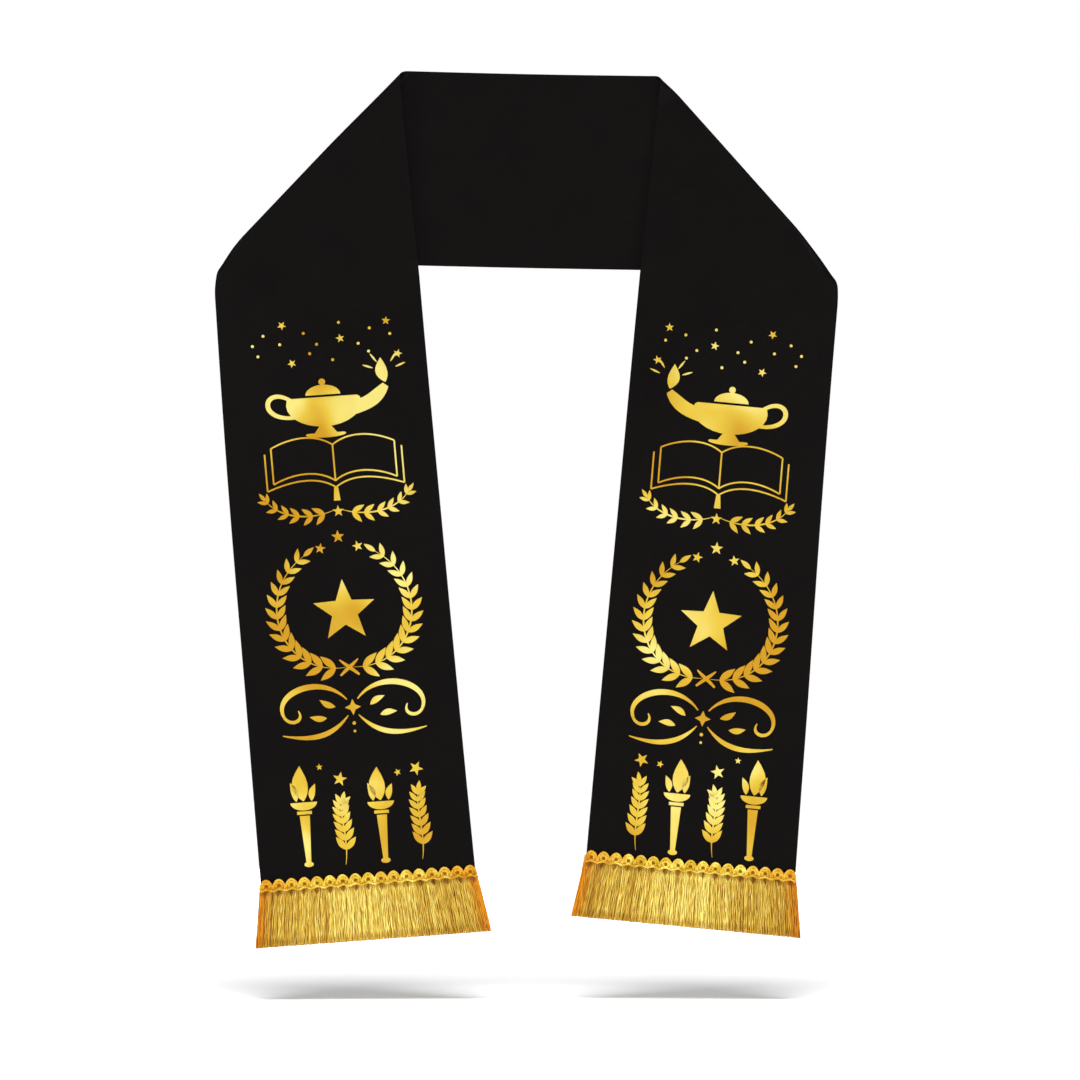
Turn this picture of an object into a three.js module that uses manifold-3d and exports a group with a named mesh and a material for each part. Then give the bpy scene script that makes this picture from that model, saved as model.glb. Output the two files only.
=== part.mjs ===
// Graduation stole: one long strip of black satin, folded over once at each shoulder, so that the
// middle of the strip lies behind the neck and its two ends hang down in front. Each end carries
// a gold fringe under a scalloped gold heading braid.
// Millimetres, +Z up, the front faces -Y and +X is on the right as seen from the front. The
// origin is the middle of the neck strip's top edge, on the face that lies against the neck.

import * as THREE from 'three';
import Module from 'manifold-3d';

const wasm = await Module();
wasm.setup();

// Cloth strip: its half length runs from the middle of the neck to a cut end, and the fold's
// radius gains on its way down to the outer corner
const clothThickness = 1.6;
const halfLength = 697;
const neckWidth = 146;
const shoulderWidth = 150.5;
const endWidth = 158;
const foldTop = 98.3;
const foldRadius = 2.5;
const cornerGain = 10;
const neckTilt = THREE.MathUtils.degToRad(1.15);
const neckBow = 12;
const neckBowReach = 150;
const legForward = 15;
const legTurn = 6;
const legSwing = 6.5;
const waveDepth = 1.6;
const wavesAcross = 1.05;
const wavesAlong = 2.5;
const waveFades = 0.62;
const waveGone = 0.88;

// Each side of the wearer: which way it lies, how far its leg leans in below the fold, in degrees,
// and its length, width, swing and corner as shares of the sizes above
const sides = [
  { name: 'left', hand: -1, lean: 4.1, length: 1.01, width: 1.01, swing: 1.05, corner: 1.2 },
  { name: 'right', hand: 1, lean: 5.4, length: 0.99, width: 0.99, swing: -0.95, corner: 0.8 },
];
const foldOpens = 0.75;
const foldOpened = 1.1;
const neckShare = 0.13;
const shoulderShare = 0.36;
const settleShare = 0.35;

// Heading braid and fringe
const pieceGap = 0.3;
const trimOverhang = 1.5;
const headingAbove = 8;
const headingBelow = 2;
const headingThickness = 2.2;
const scallopPitch = 9.5;
const scallopShare = 0.46;
const eyeletShare = 0.5;
const fringeLength = 43;
const fringeThickness = 3.2;
const fringeFlare = 1.07;
const lockPitch = 5;
const lockFill = 0.92;
const lockRoot = 2;
const lockRootShare = 0.4;
const lockTipShare = 0.85;
const lockSway = 0.5;
const lockUneven = 0.6;
const lockPhases = { tip: 3.1, sway: 2.4, lift: 1.9 };

// Mesh steps
const columns = 8;
const neckRows = 6;
const bendRows = 10;
const turnRows = 8;
const legRows = 14;
const squareShare = 0.05;
const arcSteps = 4;
const lockSteps = 5;
const normalStep = 0.5;
const crossingTries = 12;

const satin = new THREE.MeshStandardMaterial({ color: 0x171314, roughness: 0.62, metalness: 0 });
const goldBraid = new THREE.MeshStandardMaterial({ color: 0xe3b546, roughness: 0.45, metalness: 0.3 });
const goldYarn = new THREE.MeshStandardMaterial({ color: 0xd4a93a, roughness: 0.5, metalness: 0.25 });

const mix = THREE.MathUtils.lerp;
const smooth = THREE.MathUtils.smoothstep;

// How far the cut end of a side lies from the middle of the neck, along the strip
const reachOf = (side) => halfLength * side.length;

// The width of the strip at a distance from the middle of the neck
function widthAt(side, along) {
  const share = along / reachOf(side);
  if (share <= shoulderShare) {
    const part = Math.max(0, (share - neckShare) / (shoulderShare - neckShare));
    return mix(neckWidth, shoulderWidth * side.width, part);
  }
  return side.width * mix(shoulderWidth, endWidth, (share - shoulderShare) / (1 - shoulderShare));
}

// The fold line of one side, which runs slantwise down from the neck strip's top edge, and the
// directions along it and square to it in the plane of the neck strip
for (const side of sides) {
  const turn = THREE.MathUtils.degToRad(90 + side.lean) - side.hand * neckTilt;
  const slant = turn / 2;
  const outward = new THREE.Vector3(Math.cos(neckTilt), 0, -Math.sin(neckTilt));
  outward.multiplyScalar(side.hand);
  const upward = new THREE.Vector3(Math.sin(neckTilt), 0, Math.cos(neckTilt));
  side.slant = slant;
  side.foldStart = outward.clone().multiplyScalar(foldTop);
  side.foldLine = new THREE.Vector3();
  side.foldLine.addScaledVector(outward, Math.cos(slant)).addScaledVector(upward, -Math.sin(slant));
  side.foldCross = new THREE.Vector3();
  side.foldCross.addScaledVector(outward, Math.sin(slant)).addScaledVector(upward, Math.cos(slant));
}

// The place of a point of the flat strip beside its fold line: slid down the line, and beyond it
function besideFold(side, along, up) {
  const reach = along - foldTop;
  return {
    slid: reach * Math.cos(side.slant) - up * Math.sin(side.slant),
    beyond: reach * Math.sin(side.slant) + up * Math.cos(side.slant),
  };
}

// The fold's radius, which opens towards the outer corner where the cloth's edge is free
function radiusAt(side, slid) {
  const share = slid * Math.sin(side.slant) / neckWidth;
  return foldRadius + cornerGain * side.corner * smooth(share, foldOpens, foldOpened);
}

// The middle surface of the cloth: `along` runs from the middle of the neck to the cut end, and
// `up` is 0 at the top edge of the neck strip and -neckWidth at its lower edge
function surface(side, along, up) {
  const { slid, beyond } = besideFold(side, along, up);
  const radius = radiusAt(side, slid);
  const quarter = radius * Math.PI / 2;
  const point = side.foldStart.clone().addScaledVector(side.foldLine, slid);
  if (beyond <= -quarter) {
    point.addScaledVector(side.foldCross, beyond);
  } else if (beyond < quarter) {
    const turn = (beyond + quarter) / radius;
    point.addScaledVector(side.foldCross, radius * Math.sin(turn) - quarter);
    point.y -= radius * (1 - Math.cos(turn));
  } else {
    point.addScaledVector(side.foldCross, -beyond);
    const outer = -up / neckWidth - 0.5;
    const settled = smooth(beyond - quarter, 0, reachOf(side) * settleShare);
    const hung = legForward + legTurn * outer + legWave(side, along, outer);
    point.y -= mix(2 * radius, hung, settled);
    const down = along / reachOf(side);
    point.x -= side.hand * side.swing * legSwing * settled * down * down;
  }
  const aside = Math.min(1, Math.abs(point.x) / neckBowReach);
  const bow = (1 + Math.cos(Math.PI * aside)) / 2;
  const held = 1 - smooth(-point.z, neckWidth, 2 * neckWidth);
  point.y += neckBow * (bow * held - 1) + clothThickness / 2;
  return point;
}

// Soft waves of a hanging leg, which die out above its flat hemmed end
function legWave(side, along, outer) {
  const share = along / reachOf(side);
  const across = Math.cos(2 * Math.PI * wavesAcross * outer + side.hand);
  const down = Math.cos(2 * Math.PI * wavesAlong * share);
  return waveDepth * across * down * (1 - smooth(share, waveFades, waveGone));
}

// A point off the middle surface, towards the printed side of the cloth
function place(side, along, up, off) {
  const point = surface(side, along, up);
  const ahead = surface(side, along + normalStep, up).sub(surface(side, along - normalStep, up));
  const rise = surface(side, along, up + normalStep).sub(surface(side, along, up - normalStep));
  const normal = rise.cross(ahead).normalize().multiplyScalar(side.hand);
  return point.addScaledVector(normal, off);
}

// Distance along the strip at which a line that follows the fold crosses a height on the strip.
// The line lies at a share of the rolled part, from -1 where the cloth enters it to 1 where it leaves.
function crossing(side, share, up) {
  let reach = -up / Math.tan(side.slant);
  for (let i = 0; i < crossingTries; i += 1) {
    const { slid } = besideFold(side, foldTop + reach, up);
    const beyond = share * radiusAt(side, slid) * Math.PI / 2;
    reach = (beyond - up * Math.cos(side.slant)) / Math.sin(side.slant);
  }
  return foldTop + reach;
}

// The lines that cross the strip, from the middle of the neck to the cut end: square at the neck,
// along the fold where the cloth is rolled, and square again on the leg
function crossLines(side) {
  const square = mix(crossing(side, 1, -neckWidth), reachOf(side), squareShare);
  const lines = [];
  for (let i = 0; i < neckRows; i += 1) {
    lines.push((up) => mix(0, crossing(side, -1, up), i / neckRows));
  }
  for (let i = 0; i < bendRows; i += 1) {
    lines.push((up) => crossing(side, mix(-1, 1, i / bendRows), up));
  }
  for (let i = 0; i < turnRows; i += 1) {
    lines.push((up) => mix(crossing(side, 1, up), square, i / turnRows));
  }
  for (let i = 0; i <= legRows; i += 1) {
    lines.push(() => mix(square, reachOf(side), i / legRows));
  }
  return lines.map((line) => ({ side, line }));
}

// The one strip of cloth, a flat slab of rows and columns folded into its place
function stoleBand() {
  const [left, right] = sides.map(crossLines);
  const lines = [...left.reverse(), ...right.slice(1)];
  const rows = lines.length - 1;
  const slab = new THREE.BoxGeometry(rows, 1, clothThickness, rows, columns, 1);
  const spots = slab.attributes.position;
  for (let i = 0; i < spots.count; i += 1) {
    const { side, line } = lines[Math.round(spots.getX(i) + rows / 2)];
    const share = 0.5 - spots.getY(i);
    const width = widthAt(side, line(-share * neckWidth));
    const up = (0.5 - share) * width - neckWidth / 2;
    const spot = place(side, line(up), up, -spots.getZ(i));
    spots.setXYZ(i, spot.x, spot.y, spot.z);
  }
  return slab;
}

// Moves a flat piece, drawn across x and down -y from the cut end, onto the leg
function ontoLeg(geometry, side, flare) {
  const spots = geometry.attributes.position;
  for (let i = 0; i < spots.count; i += 1) {
    const down = -spots.getY(i);
    const spread = 1 + (flare - 1) * Math.max(0, down) / fringeLength;
    const up = -spots.getX(i) * side.hand * spread - neckWidth / 2;
    const spot = place(side, reachOf(side) + down, up, spots.getZ(i));
    spots.setXYZ(i, spot.x, spot.y, spot.z);
  }
  return geometry;
}

// Scalloped braid on the front of the cloth's end, pierced under each scallop
function fringeHeading(side) {
  const width = endWidth * side.width + 2 * trimOverhang;
  const scallops = Math.round(width / scallopPitch);
  const pitch = width / scallops;
  const rise = scallopShare * (headingAbove + headingBelow);
  const shoulder = headingAbove - rise;
  const outline = new THREE.Shape();
  outline.moveTo(-width / 2, -headingBelow);
  outline.lineTo(width / 2, -headingBelow);
  outline.lineTo(width / 2, shoulder);
  for (let i = scallops - 1; i >= 0; i -= 1) {
    const middle = (i + 0.5) * pitch - width / 2;
    outline.absellipse(middle, shoulder, pitch / 2, rise, 0, Math.PI, false, 0);
    const eyelet = new THREE.Path();
    const across = eyeletShare * pitch / 2;
    eyelet.absellipse(middle, shoulder, across, eyeletShare * rise, 0, 2 * Math.PI, true, 0);
    outline.holes.push(eyelet);
  }
  outline.lineTo(-width / 2, -headingBelow);
  const braid = new THREE.ExtrudeGeometry(outline, {
    depth: headingThickness,
    bevelEnabled: false,
    curveSegments: arcSteps,
  });
  braid.translate(0, 0, clothThickness / 2 + pieceGap);
  return ontoLeg(braid, side, 1);
}

// One lock of the fringe, drawn across x and down -y. It is thin where it is rooted in the head,
// then full, and narrower and swayed towards its tip.
function fringeLock(headWidth, pitch, rootTop, number) {
  const tip = fringeLength + lockUneven * Math.sin(lockPhases.tip * number);
  const lock = new THREE.BoxGeometry(pitch * lockFill, 1, fringeThickness, 1, lockSteps, 1);
  const spots = lock.attributes.position;
  const middle = (number + 0.5) * pitch - headWidth / 2;
  for (let i = 0; i < spots.count; i += 1) {
    const share = 0.5 - spots.getY(i);
    const taper = mix(1, lockTipShare, share);
    const root = mix(lockRootShare, 1, smooth(share, 0, 1 / lockSteps));
    const sway = lockSway * share * Math.sin(lockPhases.sway * number + Math.PI * share);
    const lift = lockSway * share * Math.cos(lockPhases.lift * number + Math.PI * share);
    spots.setX(i, spots.getX(i) * taper + middle + sway);
    spots.setY(i, -mix(rootTop, tip, share));
    spots.setZ(i, spots.getZ(i) * root * taper + lift);
  }
  return lock;
}

// A closed solid of a geometry's triangles, with its shared corners merged
function solidOf(geometry) {
  const spots = geometry.attributes.position;
  const index = geometry.index;
  const corners = new Map();
  const numbers = [];
  const triangles = [];
  for (let i = 0; i < index.count; i += 1) {
    const from = index.getX(i);
    const spot = [spots.getX(from), spots.getY(from), spots.getZ(from)];
    const key = spot.map((value) => value.toFixed(4)).join(' ');
    if (!corners.has(key)) {
      corners.set(key, numbers.length / 3);
      numbers.push(...spot);
    }
    triangles.push(corners.get(key));
  }
  const mesh = new wasm.Mesh({
    numProp: 3,
    vertProperties: new Float32Array(numbers),
    triVerts: new Uint32Array(triangles),
  });
  return new wasm.Manifold(mesh);
}

// The fringe of one end: all locks hang from a plain head that butts the cloth's cut edge behind
// the heading, and they are full only below the heading's lower edge
function fringe(side) {
  const headWidth = endWidth * side.width + 2 * trimOverhang;
  const locks = Math.round(headWidth / lockPitch);
  const rootTop = headingBelow + 2 * pieceGap;
  const headHeight = rootTop + lockRoot - pieceGap;
  const head = new THREE.BoxGeometry(headWidth, headHeight, clothThickness, 1, 1, 1);
  head.translate(0, -pieceGap - headHeight / 2, 0);
  let whole = solidOf(ontoLeg(head, side, fringeFlare));
  for (let number = 0; number < locks; number += 1) {
    const lock = fringeLock(headWidth, headWidth / locks, rootTop, number);
    whole = whole.add(solidOf(ontoLeg(lock, side, fringeFlare)));
  }
  const mesh = whole.getMesh();
  const geometry = new THREE.BufferGeometry();
  geometry.setAttribute('position', new THREE.BufferAttribute(mesh.vertProperties, 3));
  geometry.setIndex(new THREE.BufferAttribute(mesh.triVerts, 1));
  return geometry;
}

function named(name, geometry, material) {
  const mesh = new THREE.Mesh(geometry, material);
  mesh.name = name;
  return mesh;
}

const group = new THREE.Group();
group.add(named('stole_band', stoleBand(), satin));
for (const side of sides) {
  group.add(named(`fringe_heading_${side.name}`, fringeHeading(side), goldBraid));
  group.add(named(`fringe_${side.name}`, fringe(side), goldYarn));
}

export default group;
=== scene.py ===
import math

import bmesh
import bpy
import numpy as np
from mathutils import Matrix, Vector
from mathutils.geometry import interpolate_bezier


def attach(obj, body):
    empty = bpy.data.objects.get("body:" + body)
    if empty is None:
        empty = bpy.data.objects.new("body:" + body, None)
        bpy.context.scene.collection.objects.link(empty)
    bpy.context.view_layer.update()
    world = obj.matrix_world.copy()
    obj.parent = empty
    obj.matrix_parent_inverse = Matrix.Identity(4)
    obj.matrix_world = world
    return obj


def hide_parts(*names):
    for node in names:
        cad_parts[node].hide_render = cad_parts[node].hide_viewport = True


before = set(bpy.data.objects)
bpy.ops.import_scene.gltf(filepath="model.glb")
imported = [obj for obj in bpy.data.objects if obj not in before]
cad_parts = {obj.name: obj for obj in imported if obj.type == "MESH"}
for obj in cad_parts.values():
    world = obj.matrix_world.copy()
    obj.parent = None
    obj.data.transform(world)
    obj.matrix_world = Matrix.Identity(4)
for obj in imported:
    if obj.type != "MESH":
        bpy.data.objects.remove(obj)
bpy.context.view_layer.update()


# Camera: straight in front of the stole and level with its middle, with a long lens for the
# photograph's flat view. The frame is 0.81 m wide where the legs hang.
view_width = 0.81
view_distance = 6.0
leg_plane = -0.02
view_centre = Vector((0.0075, leg_plane, -0.3506))

camera_data = bpy.data.cameras.new("camera")
camera_data.sensor_width = 36
camera_data.lens = camera_data.sensor_width * view_distance / view_width
camera = bpy.data.objects.new("camera", camera_data)
camera.location = view_centre + Vector((0, -view_distance, 0))
camera.rotation_euler = (math.pi / 2, 0, 0)
bpy.context.scene.collection.objects.link(camera)
bpy.context.scene.camera = camera
bpy.context.scene.view_settings.view_transform = "Standard"


# Studio: a white floor just below the fringes and white surroundings. A strong sky light in front
# and a weak one behind leave a soft shadow under each end. Low boxes at both sides leave one on the
# neck strip beside each leg, a weak box in front fills in, and a low wide one lights the back.
floor_height = -0.696
floor_size = 12


def shade(code):
    """The linear colour of a red, green and blue hex code."""
    parts = [int(code[i:i + 2], 16) / 255 for i in (0, 2, 4)]
    return [part / 12.92 if part <= 0.04045 else ((part + 0.055) / 1.055) ** 2.4 for part in parts] + [1]


def add_node(tree, kind, inputs=None, **settings):
    """A new node with its settings and its inputs, each a plain value or a link from a socket."""
    node = tree.nodes.new(kind)
    for name, value in settings.items():
        setattr(node, name, value)
    for name, value in (inputs or {}).items():
        if isinstance(value, bpy.types.NodeSocket):
            tree.links.new(value, node.inputs[name])
        else:
            node.inputs[name].default_value = value
    return node


def new_material(name):
    """A material with its node tree and its shader."""
    material = bpy.data.materials.new(name)
    material.use_nodes = True
    return material, material.node_tree, material.node_tree.nodes["Principled BSDF"]


def colour_ramp(tree, factor, stops):
    """The colour that a factor picks from a row of places and hex codes."""
    node = add_node(tree, "ShaderNodeValToRGB", {"Fac": factor})
    elements = node.color_ramp.elements
    for _ in stops[2:]:
        elements.new(0.5)
    for element, (place, code) in zip(elements, stops):
        element.position = place
        element.color = shade(code)
    return node.outputs["Color"]


def add_piece(name, mesh, material, rounded=True):
    """A mesh as an object at the origin, with its material and rounded or flat shading."""
    mesh.materials.clear()
    mesh.materials.append(material)
    if rounded:
        mesh.shade_smooth()
    else:
        mesh.shade_flat()
    piece = bpy.data.objects.new(name, mesh)
    bpy.context.scene.collection.objects.link(piece)
    return piece


pale_floor, tree, shader = new_material("pale_floor")
place = add_node(tree, "ShaderNodeTexCoord").outputs["Object"]
mottle = add_node(tree, "ShaderNodeTexNoise", {"Vector": place, "Scale": 3.0}).outputs["Fac"]
floor_colour = colour_ramp(tree, mottle, [(0.3, "f6f6f6"), (0.7, "f9f9f9")])
tree.links.new(floor_colour, shader.inputs["Base Color"])
shader.inputs["Roughness"].default_value = 0.8
shader.inputs["Specular IOR Level"].default_value = 0.1

floor_mesh = bpy.data.meshes.new("floor")
bm = bmesh.new()
bmesh.ops.create_grid(bm, x_segments=4, y_segments=4, size=floor_size / 2)
bmesh.ops.translate(bm, verts=bm.verts[:], vec=(0, 0, floor_height))
bm.to_mesh(floor_mesh)
bm.free()
add_piece("floor", floor_mesh, pale_floor)

surroundings = bpy.data.worlds.new("surroundings")
surroundings.use_nodes = True
tree = surroundings.node_tree
tree.nodes.clear()
seen = add_node(tree, "ShaderNodeBackground", {"Color": (1, 1, 1, 1), "Strength": 1.0}).outputs[0]
cast = add_node(tree, "ShaderNodeBackground", {"Color": (1, 1, 1, 1), "Strength": 0.1}).outputs[0]
direct = add_node(tree, "ShaderNodeLightPath").outputs["Is Camera Ray"]
mixed = add_node(tree, "ShaderNodeMixShader", {0: direct, 1: cast, 2: seen}).outputs[0]
add_node(tree, "ShaderNodeOutputWorld", {"Surface": mixed})
bpy.context.scene.world = surroundings


def add_light(name, kind, energy, spot, aim, **settings):
    """A light at a spot, turned towards what it lights."""
    light_data = bpy.data.lights.new(name, kind)
    light_data.energy = energy
    for setting, value in settings.items():
        setattr(light_data, setting, value)
    light = bpy.data.objects.new(name, light_data)
    light.location = spot
    light.rotation_euler = (Vector(aim) - Vector(spot)).to_track_quat("-Z", "Y").to_euler()
    light.visible_camera = False
    bpy.context.scene.collection.objects.link(light)


neck_spot = (0, 0, 0)
half_way = (0, 0, -0.35)
side_shape = {"shape": "RECTANGLE", "size": 0.6, "size_y": 0.45}
back_shape = {"shape": "RECTANGLE", "size": 2.0, "size_y": 0.4}
add_light("front_sky", "SUN", 3.3, (0, -1.15, 2), neck_spot, angle=math.radians(28))
add_light("back_sky", "SUN", 0.5, (0, 0.6, 2), neck_spot, angle=math.radians(50))
add_light("left_box", "AREA", 27, (-1.8, -1.45, -0.42), half_way, **side_shape)
add_light("right_box", "AREA", 27, (1.8, -1.45, -0.42), half_way, **side_shape)
add_light("front_box", "AREA", 3, (0.3, -2.6, 0.9), half_way, size=1.6)
add_light("back_box", "AREA", 28, (0.4, 2.3, -0.44), half_way, **back_shape)


# Stole band: one long strip of black satin, faced on both sides and turned at its edges, 1.6 mm
# thick. Its middle lies behind the neck, it is folded over slantwise at each shoulder, and its
# two ends hang down in front. It was pressed flat, so it keeps only soft waves.
cloth_thickness = 0.0016
half_length = 0.697
neck_width = 0.146
shoulder_width = 0.1505
end_width = 0.158
fold_top = 0.0983
corner_gain = 0.010
top_gain = 0.0026
neck_tilt = math.radians(1.15)
neck_bow = 0.012
neck_bow_reach = 0.150
leg_forward = 0.015
leg_turn = 0.006
leg_swing = 0.0065
wave_depth = 0.0016
waves_across = 1.05
waves_along = 2.5
wave_fades = 0.62
wave_gone = 0.88
fold_opened = 0.98
rounding_reach = 0.024
crease_height = 0.0007
crease_half = 0.0014
crease_reach = (0.012, 0.034)
crease_settles = 0.02
edge_radius = 0.0006
weave_depth = 0.00006
neck_share = 0.13
shoulder_share = 0.36
settle_share = 0.35
normal_step = 0.0005
crossing_tries = 12
sides = [
    {"name": "left", "hand": -1, "lean": 4.1, "length": 1.01, "width": 1.02, "swing": 1.05,
     "radius": 0.0025, "top_reach": 0.45, "opens": 0.86, "corner": 0.24, "rounding": 0.004},
    {"name": "right", "hand": 1, "lean": 5.4, "length": 0.99, "width": 0.996, "swing": -0.75,
     "radius": 0.0012, "top_reach": 0.1, "opens": 0.75, "corner": 0.5, "rounding": 0.0026},
]
for side in sides:
    outward = side["hand"] * np.array([math.cos(neck_tilt), 0, -math.sin(neck_tilt)])
    upward = np.array([math.sin(neck_tilt), 0, math.cos(neck_tilt)])
    slant = (math.radians(90 + side["lean"]) - side["hand"] * neck_tilt) / 2
    side["down"] = math.sin(slant)
    side["out"] = math.cos(slant)
    side["upward"] = upward
    side["start"] = outward * fold_top
    side["line"] = outward * math.cos(slant) - upward * math.sin(slant)
    side["cross"] = outward * math.sin(slant) + upward * math.cos(slant)
    lower_edge = (neck_width + shoulder_width * side["width"]) / 2
    side["corner_point"] = side["start"] + side["line"] * lower_edge / side["down"]
    inward = side["line"] * (side["out"] - 1) - side["cross"] * side["down"]
    side["inward"] = inward / np.linalg.norm(inward)


def mix(low, high, share):
    """The value at a share of the way from low to high."""
    return low + (high - low) * share


def smooth(value, low, high):
    """A soft step from 0 at the low value to 1 at the high one."""
    share = np.clip((value - low) / (high - low), 0, 1)
    return share * share * (3 - 2 * share)


def reach_of(side):
    """How far a side's cut end lies from the middle of the neck, along the strip."""
    return half_length * side["length"]


def width_at(side, along):
    """The strip's width, which grows from the neck to the shoulder and again to the cut end."""
    share = along / reach_of(side)
    if share <= shoulder_share:
        part = max(0, (share - neck_share) / (shoulder_share - neck_share))
        return mix(neck_width, shoulder_width * side["width"], part)
    part = (share - shoulder_share) / (1 - shoulder_share)
    return side["width"] * mix(shoulder_width, end_width, part)


def radius_at(side, slid):
    """The fold's radius, which opens a little at the neck's top edge and more at the outer corner,
    where the cloth's edges are free."""
    share = slid * side["down"] / neck_width
    corner = corner_gain * side["corner"] * smooth(share, side["opens"], fold_opened)
    top = top_gain * (1 - smooth(share, 0, side["top_reach"]))
    return side["radius"] + corner + top


def leg_wave(side, along, outer):
    """Soft waves of a hanging leg, which die out above its flat hemmed end."""
    share = along / reach_of(side)
    across = np.cos(2 * math.pi * waves_across * outer + side["hand"])
    down = np.cos(2 * math.pi * waves_along * share)
    return wave_depth * across * down * (1 - smooth(share, wave_fades, wave_gone))


def surface(side, along, up):
    """Points of the cloth's middle surface: `along` runs from the middle of the neck to the cut
    end, and `up` is 0 at the neck strip's top edge and less than 0 below it."""
    reach = along - fold_top
    slid = reach * side["out"] - up * side["down"]
    beyond = reach * side["down"] + up * side["out"]
    radius = radius_at(side, slid)
    quarter = radius * math.pi / 2
    turn = np.clip((beyond + quarter) / radius, 0, math.pi)
    crossed = radius * np.sin(turn) - np.maximum(quarter, np.abs(beyond))
    outer = -up / neck_width - 0.5
    settled = smooth(beyond - quarter, 0, reach_of(side) * settle_share)
    hung = leg_forward + leg_turn * outer + leg_wave(side, along, outer)
    points = side["start"] + side["line"] * slid[:, None] + side["cross"] * crossed[:, None]
    points[:, 1] -= mix(radius * (1 - np.cos(turn)), hung, settled)
    points[:, 0] -= side["hand"] * side["swing"] * leg_swing * settled * (along / reach_of(side)) ** 2
    bow = (1 + np.cos(math.pi * np.minimum(1, np.abs(points[:, 0]) / neck_bow_reach))) / 2
    held = 1 - smooth(-points[:, 2], neck_width, 2 * neck_width)
    points[:, 1] += neck_bow * (bow * held - 1) + cloth_thickness / 2
    fallen = -points @ side["upward"]
    over = 1 - smooth(fallen, neck_width - crease_half, neck_width + crease_half)
    over *= smooth(beyond - quarter, 0, crease_settles) * (1 - smooth(-up, *crease_reach))
    points[:, 1] -= crease_height * over
    away = np.linalg.norm((points - side["corner_point"])[:, (0, 2)], axis=1)
    rounded = np.clip(1 - away / rounding_reach, 0, 1) ** 2
    return points + side["inward"] * (side["rounding"] * rounded)[:, None]


def on_cloth(side, along, up, off):
    """Points off the middle surface, towards the printed side of the cloth."""
    ahead = surface(side, along + normal_step, up) - surface(side, along - normal_step, up)
    rise = surface(side, along, up + normal_step) - surface(side, along, up - normal_step)
    normal = np.cross(rise, ahead)
    normal *= side["hand"] / np.linalg.norm(normal, axis=1, keepdims=True)
    return surface(side, along, up) + normal * off[:, None]


def crossing(side, share, up):
    """Where along the strip a line that follows the fold crosses a height. The line lies at a
    share of the rolled part, from -1 where the cloth enters it to 1 where it leaves."""
    reach = -up * side["out"] / side["down"]
    for _ in range(crossing_tries):
        slid = reach * side["out"] - up * side["down"]
        beyond = share * radius_at(side, slid) * math.pi / 2
        reach = (beyond - up * side["out"]) / side["down"]
    return fold_top + reach


neck_rows = 30
bend_rows = 18
turn_rows = 64
leg_rows = 140
square_share = 0.05
band_columns = 42


def cross_line(side, row, up):
    """Where a cross row of the mesh lies along the strip: the rows are square at the neck, follow
    the fold where the cloth is rolled, and are square again on the leg."""
    lowest = np.array([-neck_width])
    square = mix(crossing(side, 1, lowest)[0], reach_of(side), square_share)
    if row < neck_rows:
        return mix(0, crossing(side, -1, up), row / neck_rows)
    row -= neck_rows
    if row < bend_rows:
        return crossing(side, mix(-1, 1, row / bend_rows), up)
    row -= bend_rows
    if row < turn_rows:
        return mix(crossing(side, 1, up), square, row / turn_rows)
    row -= turn_rows
    return np.full(len(up), mix(square, reach_of(side), row / leg_rows))


side_rows = neck_rows + bend_rows + turn_rows + leg_rows
band_mesh = bpy.data.meshes.new("stole_band")
bm = bmesh.new()
bmesh.ops.create_grid(bm, x_segments=2 * side_rows, y_segments=band_columns, size=side_rows)
strip_layer = bm.loops.layers.uv.new("strip")
rows = {}
for vert in bm.verts:
    rows.setdefault(round(vert.co.x), []).append(vert)
for row, verts in rows.items():
    side = sides[0] if row < 0 else sides[1]
    share = np.array([0.5 - vert.co.y / (2 * side_rows) for vert in verts])
    width = [width_at(side, along) for along in cross_line(side, abs(row), -share * neck_width)]
    up = (0.5 - share) * np.array(width) - neck_width / 2
    along = cross_line(side, abs(row), up)
    points = surface(side, along, up)
    for vert, point, flat in zip(verts, points, zip(up, along * side["hand"])):
        vert.co = point
        for loop in vert.link_loops:
            loop[strip_layer].uv = flat
bmesh.ops.recalc_face_normals(bm, faces=bm.faces[:])
bm.to_mesh(band_mesh)
bm.free()


def weave(tree, depth):
    """Bump of a satin weave: fine threads across the strip under long floats that run down it."""
    flat = add_node(tree, "ShaderNodeUVMap", uv_map="strip").outputs["UV"]
    float_inputs = {"Vector": flat, "Scale": 900.0, "Distortion": 0.6, "Detail": 1.0}
    floats = add_node(tree, "ShaderNodeTexWave", float_inputs, bands_direction="X").outputs["Fac"]
    step_inputs = {"Vector": flat, "Scale": 420.0, "Distortion": 1.2, "Detail": 1.0}
    steps = add_node(tree, "ShaderNodeTexWave", step_inputs, bands_direction="DIAGONAL").outputs["Fac"]
    height = add_node(tree, "ShaderNodeMath", {0: floats, 1: steps}, operation="ADD").outputs[0]
    bump = {"Height": height, "Strength": 0.5, "Distance": depth}
    return add_node(tree, "ShaderNodeBump", bump).outputs["Normal"]


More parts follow.
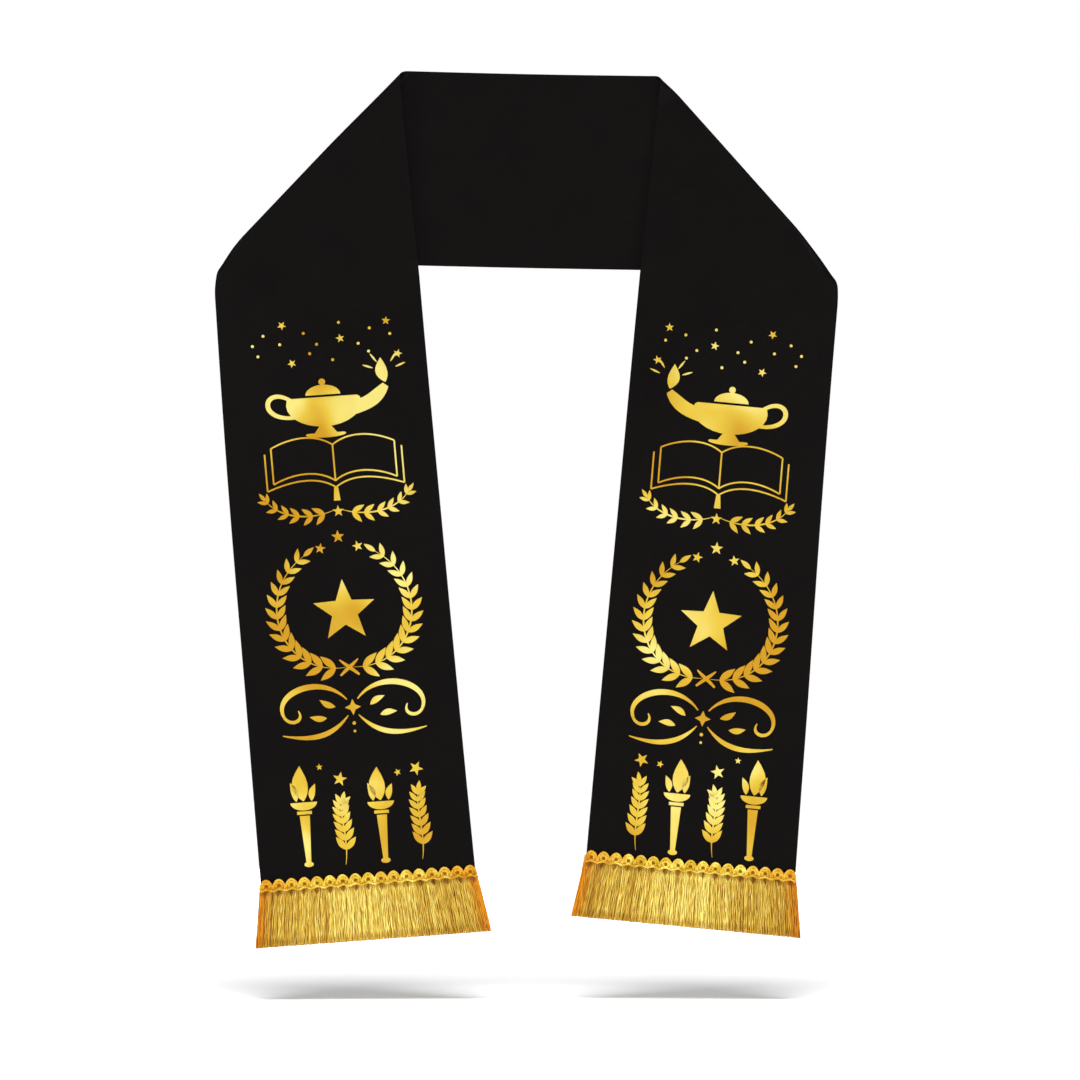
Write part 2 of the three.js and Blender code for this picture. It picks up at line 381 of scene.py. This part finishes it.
black_satin, tree, shader = new_material("black_satin")
flat = add_node(tree, "ShaderNodeUVMap", uv_map="strip").outputs["UV"]
press_inputs = {"Vector": flat, "Scale": 26.0, "Detail": 4.0, "Roughness": 0.6}
pressed = add_node(tree, "ShaderNodeTexNoise", press_inputs).outputs["Fac"]
cloth_colour = colour_ramp(tree, pressed, [(0.3, "050303"), (0.7, "070404")])
tree.links.new(cloth_colour, shader.inputs["Base Color"])
sheen_inputs = {"Value": pressed, "From Min": 0.3, "From Max": 0.7, "To Min": 0.5, "To Max": 0.62}
roughness = add_node(tree, "ShaderNodeMapRange", sheen_inputs).outputs["Result"]
tree.links.new(roughness, shader.inputs["Roughness"])
tree.links.new(weave(tree, weave_depth), shader.inputs["Normal"])
shader.inputs["Specular IOR Level"].default_value = 0.05
shader.inputs["Sheen Weight"].default_value = 0.006
shader.inputs["Sheen Roughness"].default_value = 0.4

stole_band = add_piece("stole_cloth", band_mesh, black_satin)
wall = stole_band.modifiers.new("wall", "SOLIDIFY")
wall.thickness = cloth_thickness
wall.offset = 0
wall.use_even_offset = True
edge = stole_band.modifiers.new("turned_edge", "BEVEL")
edge.width = edge_radius
edge.segments = 3
edge.limit_method = "ANGLE"
edge.angle_limit = math.radians(60)
edge.harden_normals = True
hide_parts("stole_band")
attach(stole_band, "root")


# Foil prints: three designs on each leg, heat-pressed from gold foil and mirrored from leg to leg.
# They are drawn flat in millimetres, upright and round their own middle, cut into small cells, and
# laid on the cloth.
foil_thickness = 0.00012
foil_gap = 0.00005
foil_layer = 0.00003
foil_cell = 0.008
foil_cuts = 11
foil_weave_depth = 0.00003
millimetre = 0.001
oval_segments = 28
leaf_segments = 20
leaf_skew = 0.85
leaf_turn = 38
tip_slack = 0.001
tip_leaf = 0.7
stroke_pull = 0.3
stem_width = 1.3
sprig_steps = 40
sprig_last = 0.94
sprig_shrink = 0.3


def raise_verts(verts, layer):
    """Lifts a shape that crosses others, so that no two lie in one plane."""
    for vert in verts:
        vert.co.z = layer


def foil_round(bm, spot, width, height, low=-1, high=1, layer=0):
    """A filled oval, cut off below and above at shares of its half height."""
    verts = bmesh.ops.create_circle(bm, cap_ends=True, segments=oval_segments, radius=1)["verts"]
    for vert in verts:
        vert.co.x = spot[0] + vert.co.x * width / 2
        vert.co.y = spot[1] + min(max(vert.co.y, low), high) * height / 2
    raise_verts(verts, layer)


def foil_star(bm, spot, radius, turn=0, points=5, inner=0.42):
    """A star with its first point upright."""
    verts = bmesh.ops.create_circle(bm, cap_ends=True, segments=2 * points, radius=1)["verts"]
    for number, vert in enumerate(verts):
        angle = math.radians(90 + turn) + math.pi * number / points
        reach = radius * (inner if number % 2 else 1)
        vert.co.x = spot[0] + reach * math.cos(angle)
        vert.co.y = spot[1] + reach * math.sin(angle)


def foil_leaf(bm, spot, length, width, turn, bend=0.0):
    """A leaf or flame, pointed at both ends, which starts at a spot and points along its turn."""
    verts = bmesh.ops.create_circle(bm, cap_ends=True, segments=leaf_segments, radius=1)["verts"]
    angle = math.radians(turn)
    for vert in verts:
        share = (vert.co.x + 1) / 2
        swell = math.sin(math.pi * share ** leaf_skew)
        at_tip = min(share, 1 - share) < tip_slack
        x = share * length
        y = 0 if at_tip else math.copysign(swell * width / 2, vert.co.y)
        y += bend * math.sin(math.pi * share) * width
        vert.co.x = spot[0] + x * math.cos(angle) - y * math.sin(angle)
        vert.co.y = spot[1] + x * math.sin(angle) + y * math.cos(angle)


def foil_panel(bm, low, high, low_width, high_width, layer=0):
    """A panel that stands between two spots on its middle line and may taper."""
    verts = bmesh.ops.create_grid(bm, x_segments=1, y_segments=1, size=0.5)["verts"]
    for vert in verts:
        share = vert.co.y + 0.5
        half = mix(low_width, high_width, share)
        vert.co.x = mix(low[0], high[0], share) + vert.co.x * half
        vert.co.y = mix(low[1], high[1], share)
    raise_verts(verts, layer)


def foil_line(bm, start, pull, push, end, width, tips=(0.25, 0.25), steps=22, layer=0):
    """A pen stroke along a curve, full in its middle and thinner towards its tips."""
    path = interpolate_bezier(Vector(start), Vector(pull), Vector(push), Vector(end), steps + 1)
    verts = bmesh.ops.create_grid(bm, x_segments=steps, y_segments=1, size=0.5)["verts"]
    for vert in verts:
        share = vert.co.x + 0.5
        number = round(share * steps)
        ahead = path[min(number + 1, steps)] - path[max(number - 1, 0)]
        tip = mix(tips[0], tips[1], share)
        half = width * (tip + (1 - tip) * math.sin(math.pi * share)) * vert.co.y
        square = Vector((-ahead.y, ahead.x)).normalized() * half
        vert.co.x, vert.co.y = path[number] + square
    raise_verts(verts, layer)
    return path


def foil_stroke(bm, start, end, width, tips=(0.25, 0.25), steps=6):
    """A straight pen stroke."""
    start = Vector(start)
    end = Vector(end)
    pull = start.lerp(end, stroke_pull)
    push = start.lerp(end, 1 - stroke_pull)
    foil_line(bm, start, pull, push, end, width, tips, steps)


def foil_sprig(bm, start, pull, push, end, leaves, length, width, first=0.12):
    """A laurel sprig: a thin stem with a pair of leaves at each step and one at its tip."""
    path = foil_line(bm, start, pull, push, end, stem_width, steps=sprig_steps, layer=1)
    for number in range(leaves):
        share = mix(first, sprig_last, number / (leaves - 1))
        spot = round(share * sprig_steps)
        ahead = path[min(spot + 1, sprig_steps)] - path[spot - 1]
        turn = math.degrees(math.atan2(ahead.y, ahead.x))
        size = 1 - sprig_shrink * share
        foil_leaf(bm, path[spot], length * size, width * size, turn + leaf_turn)
        foil_leaf(bm, path[spot], length * size, width * size, turn - leaf_turn)
    ahead = path[-1] - path[-3]
    turn = math.degrees(math.atan2(ahead.y, ahead.x))
    foil_leaf(bm, path[-1], length * tip_leaf, width * tip_leaf, turn)


def draw_lamp_and_book(bm):
    """A shining oil lamp, the old sign of learning, over an open book between laurel sprigs."""
    for number in range(18):
        x = -50 + 20 * (number % 6) + 5 * math.sin(1.7 * number)
        y = 48 + 11 * (number // 6) + 3.5 * math.cos(2.9 * number)
        if number % 4 == 1:
            foil_star(bm, (x, y), 3.4, turn=25 * number)
        else:
            foil_round(bm, (x, y), 2.2, 2.2)
    foil_round(bm, (-4, 13), 56, 34, high=0.3)
    foil_round(bm, (-4, 19.8), 26, 15, low=0)
    foil_round(bm, (-4, 29.4), 5, 5)
    foil_line(bm, (14, 9), (28, 9), (36, 15), (43, 24), 10, tips=(1.3, 0.5), layer=1)
    foil_leaf(bm, (43, 26), 19, 9, 97, bend=0.15)
    foil_line(bm, (-27, 16), (-48, 32), (-56, 2), (-25, 4), 3.6, tips=(0.7, 0.7), layer=1)
    foil_panel(bm, (-4, -9), (-4, -2.5), 17, 7, layer=1)
    foil_round(bm, (-4, -9.8), 30, 5, high=0.4, layer=2)
    for turn in (20, 55, 125, 160):
        angle = math.radians(turn)
        ray = Vector((math.cos(angle), math.sin(angle)))
        near = Vector((43, 34)) + ray * 9
        foil_stroke(bm, near, near + ray * 8, 1.5)
    for hand in (-1, 1):
        for drop, reach in ((0, 46), (27, 46), (32, 51)):
            inner = (0, -18 - drop)
            pull = (hand * 12, -9 - drop)
            push = (hand * 30, -10 - drop)
            outer = (hand * reach, -18 - drop)
            foil_line(bm, inner, pull, push, outer, 1.2, tips=(1, 1))
        for reach, top, drop in ((46, -18, 27), (51, -22, 28)):
            upper = (hand * reach, top)
            lower = (hand * reach, top - drop)
            foil_stroke(bm, upper, lower, 1.2, tips=(1, 1), steps=8)
        foil_sprig(bm, (hand * 3, -67), (hand * 22, -74), (hand * 44, -70), (hand * 53, -57), 6, 11, 4)
    foil_panel(bm, (0, -45.4), (0, -17.6), 1.2, 1.2, layer=1)
    foil_panel(bm, (0, -60), (0, -50), 5, 3, layer=1)
    foil_star(bm, (0, -68), 4.5)


def draw_wreath(bm):
    """A laurel wreath round one large star, over a pair of plain pen flourishes."""
    branch = [(3, -24), (52, -28), (68, 34), (27, 61)]
    flourishes = [
        ([(4, -48), (22, -26), (60, -40), (52, -58)], 4.4, (0.2, 0.5)),
        ([(52, -58), (48, -66), (36, -62), (41, -54)], 2.6, (0.8, 0.3)),
        ([(4, -60), (16, -74), (30, -78), (54, -72)], 3.8, (0.2, 0.2)),
    ]
    for hand in (-1, 1):
        foil_sprig(bm, *[(hand * x, y) for x, y in branch], 13, 15, 5.4, first=0.06)
        for curve, width, tips in flourishes:
            foil_line(bm, *[(hand * x, y) for x, y in curve], width, tips)
        foil_leaf(bm, (hand * 13, -53), 13, 4.6, 90 - hand * 62, bend=0.2)
        foil_leaf(bm, (hand * 20, -61), 13, 4.6, 90 - hand * 82, bend=0.2)
        foil_star(bm, (hand * 14, 66), 4.2, turn=hand * 12)
    foil_star(bm, (0, 74), 5)
    foil_star(bm, (0, 18), 24)
    foil_star(bm, (0, -54), 6, points=4, inner=0.45)
    foil_round(bm, (0, -66), 2.6, 2.6)
    foil_round(bm, (0, -72), 2, 2)
    foil_line(bm, (-7, -30), (-3, -26), (3, -22), (7, -18), 2.6, tips=(0.6, 0.3), layer=2)
    foil_line(bm, (7, -30), (3, -26), (-3, -22), (-7, -18), 2.6, tips=(0.6, 0.3), layer=3)


def draw_torch(bm, x, base, height):
    """An upright torch: a tapered handle, a cup on a collar, and a flame with two side tongues."""
    cup = base + 0.56 * height
    foil_panel(bm, (x, base), (x, cup - 5), 3.4, 7.6)
    foil_round(bm, (x, base), 7, 4, layer=1)
    foil_panel(bm, (x, cup - 4), (x, cup - 1.6), 11, 11)
    foil_round(bm, (x, cup + 5), 20, 12, high=0)
    foil_leaf(bm, (x, cup + 5.8), 0.36 * height, 12, 92, bend=0.12)
    foil_leaf(bm, (x - 5.4, cup + 5.8), 0.2 * height, 5.4, 104, bend=-0.2)
    foil_leaf(bm, (x + 6, cup + 5.8), 0.18 * height, 5, 74, bend=0.2)


def draw_torches(bm):
    """A row of torches between upright laurel branches, with a star over each branch."""
    for x, base, height in ((-43, -36, 74), (14.5, -37, 70)):
        draw_torch(bm, x, base, height)
    for x, tip in ((-14.5, 14), (43, 18)):
        foil_sprig(bm, (x - 1, -38), (x + 3, -20), (x - 3, 0), (x, tip - 6), 7, 13, 5, first=0.2)
        foil_star(bm, (x, tip + 12), 5.5, turn=x)
    foil_star(bm, (-29, 36), 2.6)
    foil_star(bm, (29, 28), 2.8, turn=20)


def lay_on_leg(mesh, side, flare=1.0):
    """Moves a flat piece, drawn across x and up y from the cut end, onto the front of a leg. A
    flare widens what hangs below the end."""
    spots = np.empty(len(mesh.vertices) * 3)
    mesh.vertices.foreach_get("co", spots)
    across, rise, off = spots.reshape(-1, 3).T
    spread = 1 + (flare - 1) * np.maximum(0, -rise) / fringe_length
    up = -across * side["hand"] * spread - neck_width / 2
    along = reach_of(side) - rise
    mesh.vertices.foreach_set("co", on_cloth(side, along, up, off).ravel())
    loops = np.empty(len(mesh.loops), dtype=np.int32)
    mesh.loops.foreach_get("vertex_index", loops)
    flat = np.column_stack([up, along * side["hand"]])[loops]
    strip = mesh.uv_layers.get("strip") or mesh.uv_layers.new(name="strip")
    strip.data.foreach_set("uv", flat.ravel())
    mesh.update()


gold_foil, tree, shader = new_material("gold_foil")
place = add_node(tree, "ShaderNodeTexCoord").outputs["Object"]
wash_inputs = {"Vector": place, "Scale": 14.0, "Detail": 1.5, "Distortion": 0.4}
wash = add_node(tree, "ShaderNodeTexNoise", wash_inputs).outputs["Fac"]
foil_colour = colour_ramp(tree, wash, [(0.36, "c08e14"), (0.5, "d6b63a"), (0.62, "e4d474")])
tree.links.new(foil_colour, shader.inputs["Base Color"])
tree.links.new(weave(tree, foil_weave_depth), shader.inputs["Normal"])
shader.inputs["Metallic"].default_value = 0.55
shader.inputs["Roughness"].default_value = 0.38

fringe_length = 0.043
foil_designs = [
    {"name": "lamp", "draw": draw_lamp_and_book, "middle": (0.357, 0.358), "inward": 0.002},
    {"name": "wreath", "draw": draw_wreath, "middle": (0.518, 0.522), "inward": 0},
    {"name": "torches", "draw": draw_torches, "middle": (0.651, 0.641), "inward": 0},
]
for design in foil_designs:
    bm = bmesh.new()
    design["draw"](bm)
    bmesh.ops.recalc_face_normals(bm, faces=bm.faces[:])
    for face in bm.faces:
        if face.normal.z < 0:
            face.normal_flip()
    thick = bmesh.ops.extrude_face_region(bm, geom=bm.faces[:], use_keep_orig=True)["geom"]
    for vert in bm.verts:
        vert.co = (vert.co.x * millimetre, vert.co.y * millimetre, vert.co.z * foil_layer)
    raised = [item for item in thick if isinstance(item, bmesh.types.BMVert)]
    bmesh.ops.translate(bm, verts=raised, vec=(0, 0, foil_thickness))
    bmesh.ops.recalc_face_normals(bm, faces=bm.faces[:])
    for axis in (Vector((1, 0, 0)), Vector((0, 1, 0))):
        for number in range(-foil_cuts, foil_cuts + 1):
            everything = bm.verts[:] + bm.edges[:] + bm.faces[:]
            cut = axis * number * foil_cell
            bmesh.ops.bisect_plane(bm, geom=everything, plane_co=cut, plane_no=axis)
    for side, middle in zip(sides, design["middle"]):
        mesh = bpy.data.meshes.new(f"foil_{design['name']}_{side['name']}")
        bm.to_mesh(mesh)
        spots = np.empty(len(mesh.vertices) * 3)
        mesh.vertices.foreach_get("co", spots)
        spots = spots.reshape(-1, 3)
        spots[:, 0] = -side["hand"] * (spots[:, 0] + design["inward"])
        spots[:, 1] += reach_of(side) - middle
        spots[:, 2] += cloth_thickness / 2 + foil_gap
        mesh.vertices.foreach_set("co", spots.ravel())
        if side["hand"] > 0:
            mesh.flip_normals()
        lay_on_leg(mesh, side)
        foil = add_piece(mesh.name, mesh, gold_foil, rounded=False)
        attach(foil, "root")
    bm.free()


# Fringe headings: gold rayon cord crocheted into a row of scallops, sewn on the front of each end.
# A tall row of arches runs over a row of small loops, and both stand on straight filler cords.
# Ground cords show between them, darkened with painted shade, and a wavy cord hangs over the top of the
# fringe.
trim_overhang = 0.0015
trim_gap = 0.0003
heading_above = 0.008
heading_below = 0.002
heading_thickness = 0.0022
scallop_pitch = 0.0095
heading_inset = 0.0008
arch_steps = 26
arch_radius = 0.00115
arch_foot = 0.0006
arch_lean = 0.13
arch_twist = 0.00015
ring_steps = 18
ring_radius = 0.00125
ring_middle = 0.0026
ring_rise = 0.0023
ring_half = 0.25
ring_overrun = 0.5
straight_steps = 220
filler_radius = 0.0007
filler_heights = (0.0009, -0.0003)
filler_ripple = 0.00015
ground_radius = 0.0006
ground_heights = (0.0018, 0.0027, 0.0036)
ground_ripple = 0.0001
ground_sunk = 0.0003
wave_radius = 0.0008
wave_top = 0.0002
wave_twist = 0.0001
ply_pitch = 0.0042
ply_shares = {2: 0.56, 3: 0.5}
cap_share = 0.6
weld_reach = 1e-7
braid_amber = 0.75
braid_amber_from = 0.1


def twisted_cord(path, radius, plies):
    """The paths of a cord's plies, which wind round its middle line, and each ply's radius."""
    ahead = np.gradient(path, axis=0)
    gone = np.concatenate([[0], np.cumsum(np.linalg.norm(np.diff(path, axis=0), axis=1))])
    ahead /= np.linalg.norm(ahead, axis=1, keepdims=True)
    outwards = np.tile([0.0, 0.0, 1.0], (len(path), 1))
    sideways = np.cross(ahead, outwards)
    ply_radius = radius * ply_shares[plies]
    paths = []
    for ply in range(plies):
        turn = (2 * math.pi * (gone / ply_pitch + ply / plies))[:, None]
        paths.append(path + (radius - ply_radius) * (np.cos(turn) * sideways + np.sin(turn) * outwards))
    return [(ply_path, np.full(len(path), ply_radius)) for ply_path in paths]


def yarn_mesh(name, yarns, dyes=None):
    """One mesh of all yarns, each a path and the radius at each of its points, with rounded ends.
    Each dye is a list of its values along each yarn, kept as an attribute for the material."""
    curve = bpy.data.curves.new(name, "CURVE")
    curve.dimensions = "3D"
    curve.bevel_depth = 1
    curve.bevel_resolution = 1
    for path, radius in yarns:
        ahead = path[1] - path[0]
        behind = path[-2] - path[-1]
        first = path[0] - ahead * cap_share * radius[0] / np.linalg.norm(ahead)
        last = path[-1] - behind * cap_share * radius[-1] / np.linalg.norm(behind)
        path = np.vstack([first, path, last])
        spline = curve.splines.new("POLY")
        spline.points.add(len(path) - 1)
        spline.points.foreach_set("co", np.column_stack([path, np.ones(len(path))]).ravel())
        spline.points.foreach_set("radius", np.pad(radius, 1))
    holder = bpy.data.objects.new(name, curve)
    bpy.context.scene.collection.objects.link(holder)
    graph = bpy.context.evaluated_depsgraph_get()
    mesh = bpy.data.meshes.new_from_object(holder.evaluated_get(graph))
    bpy.data.objects.remove(holder)
    mesh.name = name
    for dye, values in (dyes or {}).items():
        values = np.concatenate([np.pad(along, 1, mode="edge") for along in values])
        ring = len(mesh.vertices) // len(values)
        mesh.attributes.new(dye, "FLOAT", "POINT").data.foreach_set("value", np.repeat(values, ring))
    bm = bmesh.new()
    bm.from_mesh(mesh)
    bmesh.ops.remove_doubles(bm, verts=bm.verts[:], dist=weld_reach)
    bmesh.ops.recalc_face_normals(bm, faces=bm.faces[:])
    bm.to_mesh(mesh)
    bm.free()
    return mesh


gold_braid, tree, shader = new_material("gold_braid")
place = add_node(tree, "ShaderNodeTexCoord").outputs["Object"]
dye_inputs = {"Vector": place, "Scale": 160.0, "Detail": 3.0}
dye = add_node(tree, "ShaderNodeTexNoise", dye_inputs).outputs["Fac"]
braid_colour = colour_ramp(tree, dye, [(0.3, "b48a1c"), (0.5, "c8a634"), (0.7, "e2d064")])
amber = add_node(tree, "ShaderNodeAttribute", attribute_name="amber").outputs["Fac"]
amber_colour = colour_ramp(tree, dye, [(0.3, "b06a00"), (0.7, "cc8c08")])
dyed_inputs = {0: amber, 6: braid_colour, 7: amber_colour}
dyed = add_node(tree, "ShaderNodeMix", dyed_inputs, data_type="RGBA")
# Painted shade: the ground cords are darkened towards a87a06 where they show between the arches and loops.
painted_shade = add_node(tree, "ShaderNodeAttribute", attribute_name="painted_shade").outputs["Fac"]
ground_shade_inputs = {0: painted_shade, 6: dyed.outputs[2], 7: shade("a87a06")}
ground_shade = add_node(tree, "ShaderNodeMix", ground_shade_inputs, data_type="RGBA")
tree.links.new(ground_shade.outputs[2], shader.inputs["Base Color"])
fibre_inputs = {"Vector": place, "Scale": 2200.0, "Detail": 2.0}
fibres = add_node(tree, "ShaderNodeTexNoise", fibre_inputs).outputs["Fac"]
fibre_bump = add_node(tree, "ShaderNodeBump", {"Height": fibres, "Strength": 0.5, "Distance": 0.0001})
tree.links.new(fibre_bump.outputs["Normal"], shader.inputs["Normal"])
shader.inputs["Roughness"].default_value = 0.42
shader.inputs["Specular IOR Level"].default_value = 0.12

for side in sides:
    width = end_width * side["width"] + 2 * (trim_overhang - heading_inset)
    scallops = round(width / scallop_pitch)
    pitch = width / scallops
    back = cloth_thickness / 2 + trim_gap
    front = back + heading_thickness
    yarns = []
    row_turn = np.linspace(0, 2 * math.pi * scallops, scallops * arch_steps + 1)
    straight = np.linspace(-width / 2, width / 2, straight_steps)

    x = pitch * (row_turn / (2 * math.pi) - arch_lean * np.sin(row_turn)) - width / 2
    x = np.clip(x, -width / 2, width / 2)
    y = mix(arch_foot, heading_above - arch_radius, (1 - np.cos(row_turn)) / 2)
    z = front - arch_radius + arch_twist * np.sin(row_turn)
    yarns += twisted_cord(np.column_stack([x, y, z]), arch_radius, 3)

    for number in range(scallops):
        turn = np.linspace(-ring_overrun, math.pi + ring_overrun, ring_steps)
        x = (number + 0.5 - ring_half * np.cos(turn)) * pitch - width / 2
        y = ring_middle + ring_rise * np.sin(turn)
        z = np.full(len(turn), back + ring_radius)
        yarns += twisted_cord(np.column_stack([x, y, z]), ring_radius, 2)

    for height in filler_heights:
        y = height + filler_ripple * np.sin(4 * math.pi * straight / pitch)
        z = np.full(len(straight), back + filler_radius)
        yarns += twisted_cord(np.column_stack([straight, y, z]), filler_radius, 2)
    face_yarns = len(yarns)

    for height in ground_heights:
        y = height + ground_ripple * np.sin(6 * math.pi * straight / pitch)
        z = np.full(len(straight), back + ground_radius - ground_sunk)
        yarns += twisted_cord(np.column_stack([straight, y, z]), ground_radius, 2)
    ground_yarns = len(yarns)

    x = pitch * row_turn / (2 * math.pi) - width / 2
    y = mix(wave_radius - heading_below, wave_top, (1 - np.cos(row_turn)) / 2)
    z = front - wave_radius + wave_twist * np.cos(row_turn)
    yarns += twisted_cord(np.column_stack([x, y, z]), wave_radius, 2)

    ambers = []
    painted_shades = []
    for number, (ply_path, ply_radius) in enumerate(yarns):
        aside = smooth(np.abs(ply_path[:, 0]), width * braid_amber_from, width / 2)
        ambers.append(braid_amber * aside ** 2)
        # Only the ground cords get the painted shade.
        painted_shades.append(np.full(len(ply_path), float(face_yarns <= number < ground_yarns)))
    mesh = yarn_mesh(f"heading_braid_{side['name']}", yarns, {"amber": ambers, "painted_shade": painted_shades})
    lay_on_leg(mesh, side)
    heading = add_piece(mesh.name, mesh, gold_braid)
    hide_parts(f"fringe_heading_{side['name']}")
    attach(heading, "root")


# Fringes: silky gold rayon yarns, sewn to the cut end under the heading. Two bright layers lie
# before and behind a middle one that is darkened as painted shade. The yarns stray a little and
# gather in locks and under each scallop. Painted shade darkens them just under the heading and in
# the gaps between the scallops' bundles, and a painted highlight brightens the middle of each
# fringe. The yarns turn amber at both sides and at the tips, which hang below a darker line.
fringe_flare = 1.08
lock_pitch = 0.005
strand_top = 0.00035
tip_share = 0.93
strand_uneven = 0.0004
gather_height = 0.0028
gather_reach = 0.0022
gap_reach = 0.0013
gap_painted_shade = (0.25, 0.75)
lock_toning = (-0.11, 0.11)
point_crowding = 1.3
start_spread = (0.1, 0.9)
stray_amounts = (0.2, 1)
stray_turns = (0.5, 1.4)
crimp_turns = (2.5, 5)
pull_turn = 0.8 * math.pi
sway_depth = 0.0003
head_depth = 0.4
head_reach = 0.2
foot_depth = 0.85
tip_taper = 0.3
taper_power = 12
middle_highlight = 1.2
side_highlight_loss = 0.46
line_darkness = 0.4
line_reach = 0.035
head_painted_shade = 0.25
head_shaded = 0.12
tone_wave = 0.17
tone_turns = (2, 4.5)
tip_brightness = 0.12
tip_bright_from = 0.97
side_amber_reach = 0.012
tip_amber = 0.35
first_seed = 17
# The middle layer's lower tone is painted shade inside the fringe.
strand_layers = [
    {"off": 0.0, "gap": 0.00052, "radius": 0.00046, "pull": 0, "stray": 0.0002, "crimp": 0,
     "gather": 0, "short": 0, "steps": 10, "tone": (0.25, 0.55)},
    {"off": -0.0011, "gap": 0.0008, "radius": 0.0004, "pull": 0.3, "stray": 0.0008, "crimp": 0.0001,
     "gather": 0.2, "short": 0.0006, "steps": 14, "tone": (0.45, 0.88)},
    {"off": 0.0011, "gap": 0.0005, "radius": 0.0003, "pull": 0.25, "stray": 0.0008, "crimp": 0.00015,
     "gather": 0.28, "short": 0.0006, "steps": 26, "tone": (0.47, 0.88)},
]

gold_yarn, tree, shader = new_material("gold_yarn")
tone = add_node(tree, "ShaderNodeAttribute", attribute_name="tone").outputs["Fac"]
amber = add_node(tree, "ShaderNodeAttribute", attribute_name="amber").outputs["Fac"]
stops = [(0.0, "4c2e03"), (0.35, "9c7018"), (0.65, "c09e38"), (1.0, "ddd070")]
yarn_colour = colour_ramp(tree, tone, stops)
side_colour = colour_ramp(tree, tone, [(0.0, "844400"), (1.0, "e89400")])
dyed_inputs = {0: amber, 6: yarn_colour, 7: side_colour}
dyed = add_node(tree, "ShaderNodeMix", dyed_inputs, data_type="RGBA")
tree.links.new(dyed.outputs[2], shader.inputs["Base Color"])
place = add_node(tree, "ShaderNodeTexCoord").outputs["Object"]
drawn_inputs = {"Vector": place, "Scale": (6000, 6000, 500)}
drawn = add_node(tree, "ShaderNodeMapping", drawn_inputs).outputs["Vector"]
fibre_inputs = {"Vector": drawn, "Scale": 1.0, "Detail": 1.0}
fibres = add_node(tree, "ShaderNodeTexNoise", fibre_inputs).outputs["Fac"]
fibre_bump = add_node(tree, "ShaderNodeBump", {"Height": fibres, "Strength": 0.4, "Distance": 0.00005})
tree.links.new(fibre_bump.outputs["Normal"], shader.inputs["Normal"])
shader.inputs["Roughness"].default_value = 0.4
shader.inputs["Sheen Weight"].default_value = 0.02
shader.inputs["Specular IOR Level"].default_value = 0.12

for number, side in enumerate(sides):
    chance = np.random.default_rng(first_seed + number)
    width = end_width * side["width"] + 2 * trim_overhang
    locks = round(width / lock_pitch)
    loops = round((width - 2 * heading_inset) / scallop_pitch)
    gap_shades = chance.uniform(*gap_painted_shade, loops + 1)
    lock_tones = chance.uniform(*lock_toning, locks)
    yarns = []
    tones = []
    ambers = []
    for layer in strand_layers:
        share = np.linspace(0, 1, layer["steps"]) ** point_crowding
        count = int(width / layer["gap"])
        for strand in range(count):
            start = (strand + chance.uniform(*start_spread)) / count * width - width / 2
            start *= 1 - 2 * layer["radius"] / width
            lock_number = math.floor((start + width / 2) / width * locks)
            lock = (lock_number + 0.5) / locks * width - width / 2
            pull = chance.uniform(0, layer["pull"]) * (lock - start)
            phase = chance.uniform(0, 2 * math.pi, 3)
            stray = chance.uniform(*stray_amounts) * layer["stray"]
            stray *= np.sin(2 * math.pi * chance.uniform(*stray_turns) * share + phase[0]) * np.sqrt(share)
            crimp = layer["crimp"] * np.sin(2 * math.pi * chance.uniform(*crimp_turns) * share + phase[1])
            length = fringe_length - layer["short"] - chance.uniform(0, strand_uneven)
            tied = np.exp(-((mix(strand_top, length, share) - gather_height) / gather_reach) ** 2)
            bundle_number = round((start + width / 2) / width * loops)
            bundle = bundle_number / loops * width - width / 2
            from_hump = (width / loops / 2 - abs(start - bundle)) / gap_reach
            pull = pull * np.sin(pull_turn * share) + layer["gather"] * (bundle - start) * tied
            x = np.clip(start + pull + stray + crimp, -width / 2, width / 2)
            full = mix(head_depth, 1, smooth(share, 0, head_reach)) * mix(1, foot_depth, share)
            z = layer["off"] * full + sway_depth * full * np.sin(2 * math.pi * share + phase[2])
            path = np.column_stack([x, -mix(strand_top, length, share), z])
            yarns.append((path, layer["radius"] * (1 - tip_taper * share ** taper_power)))
            tone = chance.uniform(*layer["tone"]) + lock_tones[lock_number]
            # Painted highlight: the yarns are brightest in the middle of the fringe and dimmer towards its
            # sides.
            tone *= middle_highlight - side_highlight_loss * abs(2 * start / width)
            line = line_darkness * np.exp(-((share - tip_share) / line_reach) ** 2)
            # Painted shade darkens the yarns just under the heading.
            tone *= 1 - line - head_painted_shade * (1 - smooth(share, 0, head_shaded))
            # Painted shade darkens the gaps between the scallops' bundles, where the yarns gather.
            tone *= 1 - gap_shades[bundle_number] * tied * math.exp(-from_hump ** 2)
            tone *= 1 + tone_wave * np.sin(2 * math.pi * chance.uniform(*tone_turns) * share + phase[2])
            tone += tip_brightness * smooth(share, tip_share, tip_bright_from)
            tones.append(tone)
            aside = smooth(abs(start), width / 2 - side_amber_reach, width / 2)
            ambers.append(np.maximum(aside, tip_amber * smooth(share, tip_share, 1)))
    mesh = yarn_mesh(f"fringe_yarn_{side['name']}", yarns, {"tone": tones, "amber": ambers})
    lay_on_leg(mesh, side, fringe_flare)
    yarn = add_piece(mesh.name, mesh, gold_yarn)
    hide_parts(f"fringe_{side['name']}")
    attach(yarn, "root")
